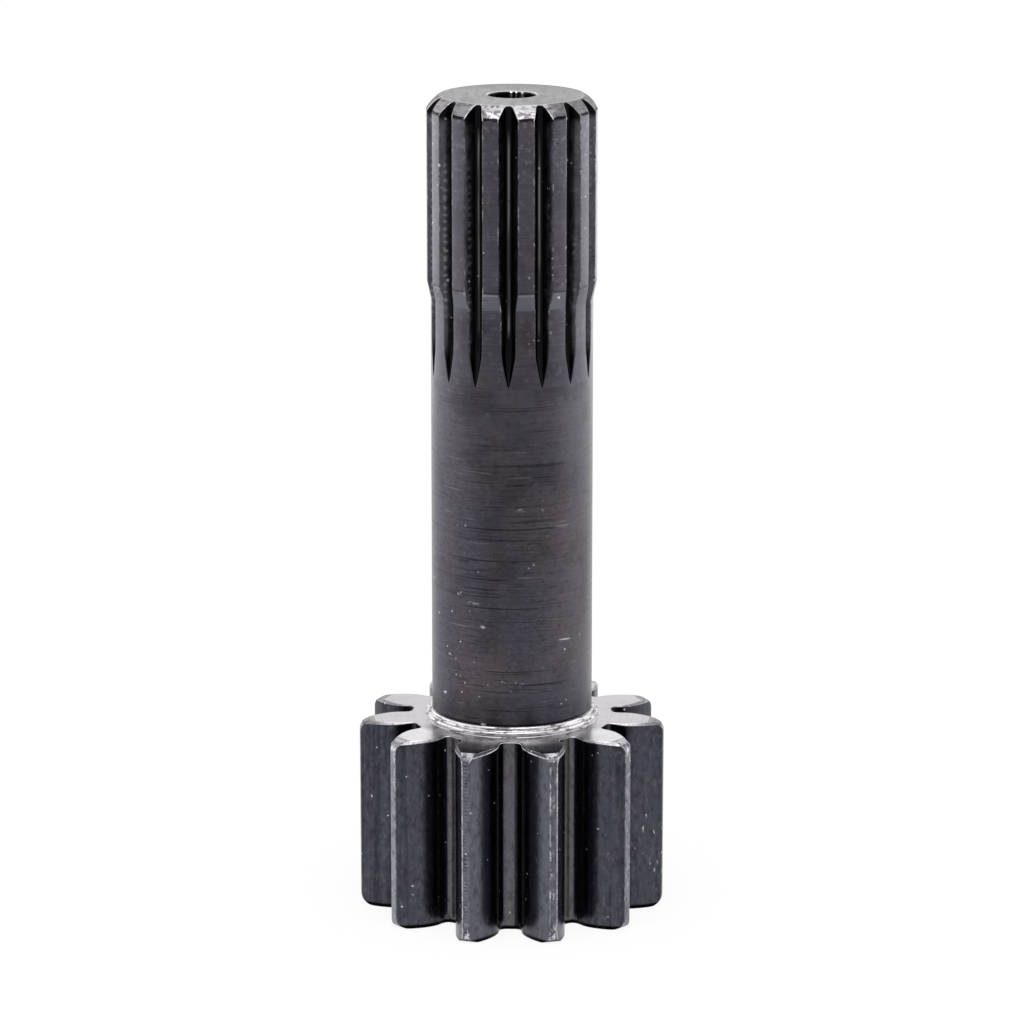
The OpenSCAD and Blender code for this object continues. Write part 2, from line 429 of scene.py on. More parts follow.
# The mesh is a list of rings with the same number of columns, from the pole of the lathe centre, out over the
# pinion, up the shaft and in again to the pole of the bore. Its points carry marks for the finishes: depth is
# 0 at the tips and 1 at the roots, wear is 1 on a worn edge, milled is 1 in a tooth space and 0 outside it,
# across is the distance in mm from the middle of the space, and brink is how far in mm a point is below the
# upper bevel.
plainMarks = {"depth": 0.0, "wear": 0.0, "milled": 0.0, "across": 9.0, "brink": 5.0}


class RingStack:
    def __init__(self):
        self.places = []
        self.marks = {name: [] for name in plainMarks}
        self.bands = []

    def ring(self, radius, angle, z, band, marks=plainMarks):
        outwards = np.broadcast_to(radius, columnCount)[:, None] * unit(angle)
        self.places.append(np.column_stack([outwards, np.full(columnCount, z)]))
        self.bands.append(band)
        for name in plainMarks:
            self.marks[name].append(np.broadcast_to(marks[name], columnCount))

    # growth, pushed and narrowed are those of toothedRing. rub wears the lands, and below is how far the ring
    # is under the pinion's upper face.
    def toothed(self, cut, radius, z, band, growth=0.0, pushed=0.0, rub=0.0, below=None, narrowed=1.0):
        r, angle, marks = toothedRing(cut, radius, growth, pushed, narrowed)
        milled = marks["milled"]
        marks["wear"] = np.maximum(marks["wear"], rub * (1 - milled))
        marks["brink"] = plainMarks["brink"]
        if below is not None:
            ends = [cut["rootRadius"], cut["tipRadius"]]
            bevel = np.interp(r, ends, [forging["rootBevel"], forging["tipBevel"]])
            marks["brink"] = milled * (below - bevel) + (1 - milled) * plainMarks["brink"]
        self.ring(r, angle, z, band, marks)


# Radius of a rounded corner at a height above its face: crown - size + sqrt(size^2 - (size - height)^2)
def roundedRadius(crown, size, height):
    return crown - size + math.sqrt(max(0.0, size ** 2 - (size - height) ** 2))


# Points from p to q on a shallow arc that bulges to the right of that line by bulge. The arc's radius is
# (chord^2 / 4 + bulge^2) / (2 x bulge).
def crownedLine(p, q, bulge, count):
    p, q = np.array(p), np.array(q)
    chord = np.linalg.norm(q - p)
    along = (q - p) / chord
    out = np.array([along[1], -along[0]])
    size = (chord ** 2 / 4 + bulge ** 2) / (2 * bulge)
    half = math.asin(chord / 2 / size)
    middle = math.atan2(out[1], out[0])
    return (p + q) / 2 + out * (bulge - size) + size * unit(np.linspace(middle - half, middle + half, count))


def buildForging():
    f = forging
    stack = RingStack()
    even = np.arange(columnCount) * 2 * math.pi / columnCount
    pinionEven = math.radians(pinion["turn"]) + even
    splineEven = math.radians(spline["turn"]) + even

    tip, root = pinion["tipRadius"], pinion["rootRadius"]
    far = np.linalg.norm(pinion["side"], axis=1)
    bevel = f["rootBevel"] + (f["tipBevel"] - f["rootBevel"]) * np.clip((far - root) / (tip - root), 0, None)

    def upperBevel(below):
        return np.maximum(0.0, bevel - below)

    def lowerBevel(above):
        return max(0.0, f["lowerBevel"] - above)

    # Rings of a flat face, from the outline inwards: each column slides to its own angle on a circle. The
    # angles lean towards the middle of the tooth, so that no column crosses another.
    def faceRings(outline, circleRadius, shares):
        r, angle = outline
        turned, halfPitch = angle - math.radians(pinion["turn"]), pinion["halfPitch"]
        local = turned % (2 * halfPitch)
        local = np.minimum(local, 2 * halfPitch - local)
        column = np.arange(columnCount) % pinionColumns
        ease = np.clip(np.minimum(column, pinionColumns - column) / lean["columns"], 0, 1)
        leaning = lean["share"] * ease ** 2 * (3 - 2 * ease)
        goal = angle + np.sign(np.sin(turned * pinion["teeth"])) * leaning * (halfPitch - local)
        return [(r + (circleRadius - r) * t, angle + (goal - angle) * t) for t in shares], goal

    # Lathe centre, then the lower face out to the outline of the teeth
    outline = toothedRing(pinion, tip - f["tipLowerRound"], lowerBevel(0.0))[:2]
    inset, outside, close = rings["inset"], rings["outside"], rings["close"]
    border = toothedRing(pinion, tip - f["tipLowerRound"] - inset, lowerBevel(0.0) + inset)[:2]
    mouth, pilot = f["centreMouth"], f["centreRadius"]
    lower, lowerGoal = faceRings(border, mouth + outside, rings["lowerFace"])
    sink = (mouth - pilot) / math.tan(centrePoint)
    centreTop = sink + f["centreDepth"]
    bottomPole = centreTop + pilot / math.tan(drillPoint)
    for radius, z in (
        (pilot / 2, centreTop + pilot / 2 / math.tan(drillPoint)),
        (pilot, centreTop),
        (pilot, centreTop - close),
        (pilot, sink + close),
        (pilot, sink),
        (pilot + close, sink - rings["closeOnCone"]),
        (mouth - close, rings["closeOnCone"]),
        (mouth, 0.0),
    ):
        stack.ring(radius, lowerGoal, z, "boreSteel")
    for r, angle in lower:
        stack.ring(r, angle, 0.0, "turnedSteel")
    stack.ring(*outline, 0.0, "turnedSteel")

    # Teeth of the pinion, each ring at one height
    for lift in rings["lowerRound"]:
        z = f["tipLowerRound"] * (1 - math.cos(math.radians(lift)))
        stack.toothed(pinion, roundedRadius(tip, f["tipLowerRound"], z), z, "pinionSteel", lowerBevel(z))
    top = f["pinionWidth"]
    shoulder = top - f["tipSlopeDrop"]
    for z in rings["pinionWall"]:
        stack.toothed(pinion, tip, z, "pinionSteel")
    for lift, rub in zip(rings["upperRound"], rings["upperRoundRub"]):
        z = shoulder - f["tipUpperRound"] * (1 - math.sin(math.radians(lift)))
        r = roundedRadius(tip, f["tipUpperRound"], shoulder - z)
        stack.toothed(pinion, r, z, "pinionSteel", upperBevel(top - z), 0.0, rub, top - z)
    flatEnd = tip - f["tipUpperRound"] - f["tipSlopeLength"]
    for share in rings["tipSlope"]:
        z = shoulder + f["tipSlopeDrop"] * share
        r = flatEnd + f["tipSlopeLength"] * (1 - share)
        stack.toothed(pinion, r, z, "turnedSteel", upperBevel(top - z), 0.0, 0.0, top - z)
    stack.toothed(pinion, flatEnd, top, "turnedSteel", upperBevel(0.0), 0.0, 0.0, 0.0)

    # Upper face of the pinion and the two collars
    collarRadius, collarTop = f["outerCollar"]
    innerRadius, innerTop = f["innerCollar"]
    size = f["collarRound"]
    border = toothedRing(pinion, flatEnd - inset, upperBevel(0.0) + inset)[:2]
    upper, upperGoal = faceRings(border, collarRadius + outside, rings["upperFace"])
    for r, angle in upper:
        stack.ring(r, angle, top, "turnedSteel")
    quarter = size * unit(np.radians(rings["collarRound"]))
    for r, z in (
        (collarRadius, top),
        (collarRadius, top + close),
        *(quarter + (collarRadius - size, collarTop - size)),
        (innerRadius + close, collarTop),
        (innerRadius, collarTop),
        (innerRadius, collarTop + close),
        *(quarter + (innerRadius - size, innerTop - size)),
        (f["shaftRadius"] + 0.08, innerTop),
        (f["shaftRadius"], innerTop),
    ):
        stack.ring(r, upperGoal, z, "turnedSteel")

    # Plain shaft: the columns turn from the teeth of the pinion to the grooves of the spline
    groove = spline["rootRadius"]
    tipLift = math.sqrt(f["hobRadius"] ** 2 - (f["hobRadius"] - (f["shaftRadius"] - groove)) ** 2)
    tipHeight = f["fullGroove"] - tipLift
    grooveTip = toothedRing(spline, f["shaftRadius"], 0.0, f["shaftRadius"] - groove, f["tipWidth"])[1]
    approach = rings["approach"]
    bottom, spread = innerTop + rings["shaftFoot"][0], tipHeight - approach
    for z in (*(innerTop + above for above in rings["shaftFoot"]), *rings["shaft"], spread):
        settle = min(1, (z - bottom) / rings["settle"])
        climb = (z - bottom) / (spread - bottom)
        angle = upperGoal * (1 - settle) + settle * (pinionEven * (1 - climb) + splineEven * climb)
        stack.ring(f["shaftRadius"], angle, z, "shaftSteel")
    for share in rings["approachShares"]:
        angle = splineEven * (1 - share) + grooveTip * share
        stack.ring(f["shaftRadius"], angle, spread + approach * share, "shaftSteel")

    # Run-outs: a hob's circle carries the groove out of the shaft, and its last length narrows to a point
    for above in (*rings["runOut"], tipLift):
        z = tipHeight + above
        pushed = f["hobRadius"] - math.sqrt(f["hobRadius"] ** 2 - (f["fullGroove"] - z) ** 2)
        narrowed = max(f["tipWidth"], min(1.0, (above / f["tipNarrowing"]) ** 0.5))
        band = "shaftSteel" if above == 0 else "splineSteel"
        stack.toothed(spline, f["shaftRadius"], z, band, 0.0, pushed, narrowed=narrowed)
    land, foot, crest = spline["tipRadius"], f["stepFoot"], f["stepTop"]
    chamferFoot = f["length"] - f["endChamfer"]
    slope = (land - f["shaftRadius"]) / (crest - foot)
    near = rings["closeOnStep"]
    for z in (rings["belowStep"], foot - near, foot + near, rings["onStep"], crest - near):
        stack.toothed(spline, f["shaftRadius"] + max(0.0, z - foot) * slope, z, "splineSteel")
    for z in (crest + close, *rings["splineWall"], chamferFoot - close):
        stack.toothed(spline, land, z, "splineSteel")

    # End chamfer, slightly crowned, and the end face
    faceRadius = land - f["endChamfer"]
    line = crownedLine((land, chamferFoot), (faceRadius, f["length"]), f["endCrown"], rings["endChamfer"])
    for r, z in line[:-1]:
        stack.toothed(spline, r, z, "chamferSteel")
    stack.ring(faceRadius, ringAngles(spline, faceRadius), f["length"], "chamferSteel")
    bore, bevelSize = f["boreRadius"], f["boreChamfer"]
    mouth = bore + bevelSize
    for share in rings["endFace"]:
        angle = ringAngles(spline, faceRadius) * (1 - share) + splineEven * share
        stack.ring(faceRadius + (mouth - faceRadius) * share, angle, f["length"], "turnedSteel")

    # Bore, down to its drill point
    wallTop, wallEnd = f["length"] - bevelSize, f["length"] - f["boreDepth"]
    pointLength = bore / math.tan(drillPoint)
    bevelStep, wallStep = rings["boreBevel"] * bevelSize, rings["boreWall"]
    stack.ring(mouth - bevelStep, splineEven, f["length"] - bevelStep, "turnedSteel")
    for r, z in (
        (bore, wallTop),
        (bore, wallTop - inset),
        (bore, wallTop - wallStep),
        (bore, wallEnd + wallStep),
        (bore, wallEnd + close),
        (bore, wallEnd),
        *((bore * (1 - share), wallEnd - share * pointLength) for share in rings["borePoint"]),
    ):
        stack.ring(r, splineEven, z, "boreSteel")
    topPole = wallEnd - pointLength
    return stack, bottomPole, topPole


def ringAngles(cut, radius):
    return toothedRing(cut, radius)[1]


# Four-sided faces between neighbouring rings, and a fan of triangles from each end ring to its pole
def meshFromRings(name, stack, bottomPole, topPole):
    points = np.array(stack.places)
    count, columns = points.shape[:2]
    corner = np.arange(count * columns).reshape(count, columns)
    beside = np.roll(corner, -1, axis=1)
    quads = np.stack([corner[:-1], beside[:-1], beside[1:], corner[1:]], -1).reshape(-1, 4)
    low, high = count * columns, count * columns + 1
    lowFan = np.stack([np.full(columns, low), beside[0], corner[0]], -1)
    highFan = np.stack([corner[-1], beside[-1], np.full(columns, high)], -1)
    places = np.concatenate([points.reshape(-1, 3), [[0, 0, bottomPole], [0, 0, topPole]]]) * mm

    mesh = bpy.data.meshes.new(name)
    corners = np.concatenate([quads.ravel(), lowFan.ravel(), highFan.ravel()])
    sizes = np.concatenate([np.full(len(quads), 4), np.full(2 * columns, 3)])
    starts = np.concatenate([[0], np.cumsum(sizes)[:-1]])
    mesh.vertices.add(len(places))
    mesh.loops.add(len(corners))
    mesh.polygons.add(len(sizes))
    mesh.vertices.foreach_set("co", places.astype(np.float32).ravel())
    mesh.loops.foreach_set("vertex_index", corners.astype(np.int32))
    mesh.polygons.foreach_set("loop_start", starts.astype(np.int32))
    bands = list(steels)
    index = np.repeat([bands.index(band) for band in stack.bands[1:]], columns)
    fans = np.full(2 * columns, bands.index("boreSteel"))
    mesh.polygons.foreach_set("material_index", np.concatenate([index, fans]).astype(np.int32))
    mesh.polygons.foreach_set("use_smooth", np.ones(len(sizes), bool))
    mesh.update(calc_edges=True)
    for label, values in stack.marks.items():
        data = np.concatenate([np.array(values).ravel(), [plainMarks[label]] * 2]).astype(np.float32)
        mesh.attributes.new(label, "FLOAT", "POINT").data.foreach_set("value", data)
    mesh.validate()
    made = bpy.data.objects.new(name, mesh)
    scene.collection.objects.link(made)
    return made


# Finishes. Hardening leaves dark scale on the steel, and what was turned or worn after it is bare. Others are
# painted sheen, highlights, reflections and shade.
finish = {
    "black": (0.010, 0.010, 0.012),
    "brown": (0.094, 0.083, 0.095),
    "blue": (0.079, 0.078, 0.098),
    "paintedSheen": (0.115, 0.112, 0.150),  # painted bluish sheen at the left of the shaft
    "thread": (0.20, 0.19, 0.205),  # lathe lines and mottles on the scale
    # paler scale higher up the shaft, and painted sheen at its right
    "paleScaleAndSheen": (0.24, 0.235, 0.25),
    "landLine": (0.19, 0.185, 0.20),
    "landSheen": (0.24, 0.24, 0.28),
    "cone": (0.150, 0.150, 0.178),
    "flank": (0.110, 0.110, 0.130),
    "flankSideSheen": (0.19, 0.19, 0.21),
    "feedMark": (0.36, 0.36, 0.38),
    "grooveFloorHighlight": (0.17, 0.17, 0.165),
    "pinionFlank": (0.080, 0.083, 0.110),
    "pinionTip": (0.165, 0.165, 0.195),
    "pinionLand": (0.110, 0.110, 0.132),
    "landGrain": (0.20, 0.20, 0.24),
    "secondLandSheen": (0.40, 0.40, 0.46),
    # painted highlight along the roots of the pinion
    "root": (0.122, 0.114, 0.116),
    "underShade": (0.002, 0.002, 0.002),
    "bare": (0.66, 0.63, 0.66),
    "dull": (0.34, 0.325, 0.345),
    # stains and marks, and painted shade
    "stainAndShade": (0.15, 0.137, 0.145),
    # burrs and worn edges, and painted highlights
    "burrAndHighlight": (0.88, 0.87, 0.90),
    # painted dark reflection of the shaft, and painted shade on the front teeth
    "darkReflection": (0.105, 0.090, 0.094),
    # painted shade inside the bore and the lathe centre
    "boreShade": (0.012, 0.012, 0.013),
}
# In the looks below, an effect comes or goes between a pair of numbers. With four numbers it comes between
# the first two and goes between the last two. Places and heights are in metres. A noise has its waves per
# metre, its detail, its roughness and, if they differ, how many times the waves along x, y and z.


# Coordinates that a noise has shaken, which makes the edges of what reads them uneven. waves are per metre,
# and amount is in metres.
def shaken(g, place, waves, amount):
    x, y, z = g.split(place)
    push = (g.noise(place, waves, 2, 0.6) - 0.5) * amount
    return g.combine(x + push, y + push, z - push)


# Small spots. A look has their cells per metre, their radius as a share of a cell's width, and the share of
# the cells that have one. They fade out from 0.4 of the radius on.
def spots(g, where, name):
    scale, size, share = g.look[name]
    cells = g.add("ShaderNodeTexVoronoi", {}, {"Vector": where, "Scale": scale})
    chance = g.split(cells.out("Color"))[0]
    return cells.out("Distance").fall(size * 0.4, size) * chance.climb(1 - share, 1.02 - share)


# Scale that is brown in some places and blue in others
def scaleTone(g, place):
    patches = g.noise(place, 55, 3, 0.55, (1, 1, 0.6))
    return g.blend(patches.climb(0.40, 0.60), finish["blue"], finish["brown"])


# Bright dents, more of them low on the shaft and at the left
def dents(g, place):
    x, _, z = g.split(place)
    low = z.fall("dentsLow") * (0.45 + 0.55 * x.fall("dentsLeft"))
    many = g.noise(place, "dentClusters").climb(0.45, 0.62)
    uneven = shaken(g, place, 1300, 0.0013)
    dots = spots(g, uneven, "dots")
    nicks = spots(g, g.mapped(uneven, *g.look["nickShape"]), "nicks")
    scratches = spots(g, g.mapped(uneven, *g.look["scratchShape"]), "scratches")
    return dots.larger(nicks).larger(scratches) * (many * 0.4 + low * 0.7).climb(0.25, 0.8)


shaftLook = {
    "threads": (1, 3, 0.65, (45, 45, 2100)),
    "dashes": (1, 2, 0.5, (105, 105, 1700)),
    "longLines": (1, 2, 0.5, (32, 32, 1500)),
    "dashPatches": (1, 2, 0.5, (40, 40, 60)),
    "clouds": (95, 3, 0.6),
    "mottles": (800, 3, 0.7, (1, 1, 1.6)),
    "right": (0.010, 0.017),  # paler, as a painted sheen
    "left": (-0.0175, -0.0125),  # painted bluish sheen up to here
    "upperEnd": (0.105, 0.135),  # paler
    "foot": (0.050, 0.062),  # painted shade up to here, at the foot by the collar
    # a painted black line of shadow right at the foot
    "footLine": (0.0506, 0.0510),
    "lineSides": (0.007, 0.016),  # the dark lines are weaker at the sides
    "lineFront": (-0.012, -0.003),  # on the front half
    "dentsLow": (0.05, 0.13),
    "dentsLeft": (-0.016, 0.004),
    "dentClusters": (75, 2, 0.5),
    "dots": (900, 0.30, 0.05),
    "nicks": (420, 0.24, 0.05),
    "nickShape": ((0.6, 0.6, 1.5), (0.5, 0.3, 0)),  # how many times the cells along x, y and z, and turn
    "scratches": (480, 0.24, 0.06),
    "scratchShape": ((0.22, 0.22, 1.6), (0.45, 0.35, 0)),
}


def paintShaftSteel(g, place):
    x, y, z = g.split(place)
    threads, dashes, longLines = g.noises(place, "threads", "dashes", "longLines")
    busy = g.noise(place, "dashPatches").climb(0.38, 0.56)
    clouds, mottles = g.noises(place, "clouds", "mottles")
    middle = 1 - x.magnitude().climb("lineSides") * y.fall("lineFront") * 0.75
    tone = g.layered(
        scaleTone(g, place),
        (x.fall("left") * 0.45, "paintedSheen"),
        (threads.climb(0.50, 0.80) * 0.16, "thread"),
        (threads.fall(0.25, 0.48) * 0.22, "black"),
        (mottles.climb(0.50, 0.72) * 0.20, "thread"),
        (mottles.fall(0.28, 0.46) * 0.40, "black"),
        (dashes.climb(0.62, 0.69) * busy * middle * 0.6, "black"),
        (longLines.climb(0.61, 0.67) * middle * 0.6, "black"),
        (dashes.fall(0.28, 0.34) * busy * 0.3, "dull"),
        (x.climb("right") * 0.16, "paleScaleAndSheen"),
        (z.climb("upperEnd") * 0.10, "paleScaleAndSheen"),
        (clouds.fall(0.35, 0.55) * 0.25, "black"),
        # painted shade at the foot of the shaft
        (z.fall("foot") * 0.40, "black"),
        (z.fall("footLine"), "black"),
    )
    dented = dents(g, place)
    addSurface(g, {
        "Base Color": g.layered(tone, (dented, "bare")),
        "Metallic": 1 - dented * 0.4,
        "Roughness": 0.30 + (threads - 0.5) * 0.25 + (clouds - 0.5) * 0.15,
        "Normal": g.bump(threads, 0.00002, 0.4),
    })


splineLook = {
    "threads": (1, 3, 0.6, (60, 60, 2200)),
    "grain": (1, 3, 0.6, (600, 600, 300)),
    "clouds": (110, 3, 0.6),
    "mottles": (650, 3, 0.65),
    "sides": (0.008, 0.018),
    "paleLands": (0.150, 0.154),
    "paleEnd": (0.180, 0.195),
    "cone": (0.1536, 0.1539, 0.1574, 0.1577),  # where the lands step out
    "coneRim": (0.1572, 0.1574, 0.1577, 0.1579),
    "coneShade": (0.1580, 0.1581, 0.1582, 0.1583),
    "chamferFoot": (0.1992, 0.1996),
    "feed": 0.0019,  # the hob's feed per turn
    "feedRow": (0.20, 0.40, 0.45, 0.70),  # share of the tooth's depth
    "feedLeft": (-0.0085, -0.0050),
    "feedHeights": (0.150, 0.156, 0.184, 0.192),
    "feedPatches": (130, 2, 0.5),
    "floorStreaks": (1, 2, 0.6, (700, 700, 40)),
    "floorWidth": (0.08, 0.42),  # mm from the middle of the groove
    "floorHeights": (0.146, 0.150, 0.192, 0.198),
    "runOut": (0.140, 0.147),  # black up to here
    "mouth": (0.1975, 0.1995),  # black again
    "wear": (1, 3, 0.7, (500, 500, 330)),
    "wornHeight": (0.146, 0.152),
    "brightHeight": (0.144, 0.148),
    "pits": (700, 0.26, 0.05),
    "dots": (900, 0.30, 0.06),
    "specks": (520, 0.26, 0.03),
}


# Lands are scale like the shaft's, and flanks show the marks of the hob's feed, one above the other
def paintSplineSteel(g, place):
    x, _, z = g.split(place)
    depth, wear, milled, across = (g.attribute(n) for n in ("depth", "wear", "milled", "across"))
    threads, grain, clouds, mottles = g.noises(place, "threads", "grain", "clouds", "mottles")
    sides = x.magnitude().climb("sides")
    land = g.layered(
        scaleTone(g, place),
        (threads.climb(0.40, 0.75) * 0.25, "landLine"),
        (clouds.fall(0.35, 0.55) * 0.25, "black"),
        (mottles.climb(0.50, 0.72) * (0.16 + 0.3 * z.climb("paleEnd")), "dull"),
        # paler higher up, and painted sheen on the lands towards the sides
        (z.climb("paleLands") * 0.10 + sides * 0.20, "landSheen"),
        (z.window("cone"), "cone"),
        (z.window("coneRim") * clouds.climb(0.42, 0.55) * 0.6, "dull"),
        (z.window("coneShade") * clouds.climb(0.35, 0.50) * 0.8, "black"),
        (z.climb("chamferFoot") * mottles.climb(0.42, 0.55) * 0.8, "black"),
    )

    feed = g.maths("SINE", z * (2 * math.pi / g.look["feed"]) + mottles * 5 + clouds * 14) * 0.5 + 0.5
    left = x.fall("feedLeft") * z.window("feedHeights") * 0.9
    elsewhere = g.noise(place, "feedPatches").climb(0.52, 0.66) * 0.6
    row = depth.window("feedRow") * left.larger(elsewhere)
    streaks = g.noise(place, "floorStreaks").climb(0.40, 0.60)
    floor = across.fall("floorWidth") * z.window("floorHeights")
    flank = g.layered(
        g.blend(grain.climb(0.30, 0.70) * 0.7 + 0.3, finish["black"], finish["flank"]),
        (mottles.fall(0.30, 0.50) * 0.5, "black"),
        # painted sheen on the flanks towards the sides
        (sides * depth.fall(0.40, 0.75) * 0.35, "flankSideSheen"),
        (feed.climb(0.35, 1.0) * row * mottles.climb(0.30, 0.50) * 0.8, "feedMark"),
        # painted shade deep in the grooves
        (depth.climb(0.72, 0.90), "black"),
        # a painted highlight along the floor of the groove
        (floor * (0.25 + 0.75 * streaks), "grooveFloorHighlight"),
        (z.fall("runOut").larger(z.climb("mouth")), "black"),
    )

    pits = spots(g, g.mapped(place, (0.5, 0.5, 1.6), location=(0.003, 0, 0)), "pits")
    dots = spots(g, shaken(g, place, 1500, 0.0009), "dots")
    specks = spots(g, shaken(g, place, 1100, 0.0012), "specks")
    rubbed = g.noise(place, "wear").climb(0.50, 0.68)
    worn = wear * rubbed * z.climb("wornHeight")
    bright = (dots * 0.7).larger(specks * 0.9).larger(worn * 0.55) * z.climb("brightHeight")
    tone = g.layered(g.blend(milled, land, flank), (pits * 0.6, "black"), (bright, "bare"))
    addSurface(g, {
        "Base Color": tone,
        "Metallic": 1 - bright * 0.4,
        "Roughness": 0.30 + (grain - 0.5) * 0.25,
        "Normal": g.bump(grain, 0.00003, 0.4),
    })


pinionLook = {
    "frontTeeth": ((0.020, 0.023), (0.0150, 0.0185)),  # how far forward, and how far to the side at most
    "secondForward": (0.008, 0.014),
    "secondAside": (0.018, 0.024),
    "outerTeeth": (0.0285, 0.0310),
    "streaks": (1, 3, 0.6, (420, 420, 14)),
    "threads": (1, 2, 0.6, (1500, 1500, 30)),
    "grain": (1, 3, 0.65, (800, 800, 400)),
    "speckle": (1, 3, 0.75, (900, 900, 420)),
    "clouds": (120, 3, 0.6),
    "slow": (190, 2, 0.5),
    "clumps": (230, 3, 0.6, (1, 1, 0.45)),
    "mottles": (850, 4, 0.7, (1, 1, 0.5)),
    "strokes": (900, 2, 0.5, (1, 1, 0.6)),
    "darkAside": (0.0175, 0.0205),  # painted shade in the roots of the side spaces
    "darkDepth": (0.40, 0.75),
    "paleForward": (0.024, 0.030),  # paler tips at the front
    "paleDepth": (0.15, 0.55),
    "rootStrip": (0.6, 1.5),  # mm from the middle of a space
    "rootGap": (0.0006, 0.0013, 0.004, 0.005),  # where the front space has no strip
    "rootShade": (0.0008, 0.0013, 0.0034, 0.0040),
    "tickPitch": 0.00088,  # chatter marks on the left front tooth
    "tickPlace": (-0.0113, -0.0111, -0.0104, -0.0101),
    "innerEdge": (-0.0109, -0.0104),
    "outerLine": (0.0112, 0.0115),
    "dots": (750, 0.28, 0.05),
    "flecks": (800, 0.32, 0.22),  # on the right far flank
    "flecksAside": (0.0315, 0.0330),
    "flecksHeight": (0.007, 0.012, 0.022, 0.030),
    "upperRound": (0.0452, 0.0462),
    "upperLip": (0.0473, 0.0478),
    "foot": (0.0025, 0.0060),
    "underShade": (0.0007, 0.0013),
}


# The two teeth at the front get painted shade on top, for the dark shaft that they mirror, and have bright
# burrs round their ends
def frontTeeth(x, y):
    forward, sideways = pinionLook["frontTeeth"]
    return (-1 * y).climb(*forward) * x.magnitude().fall(*sideways)


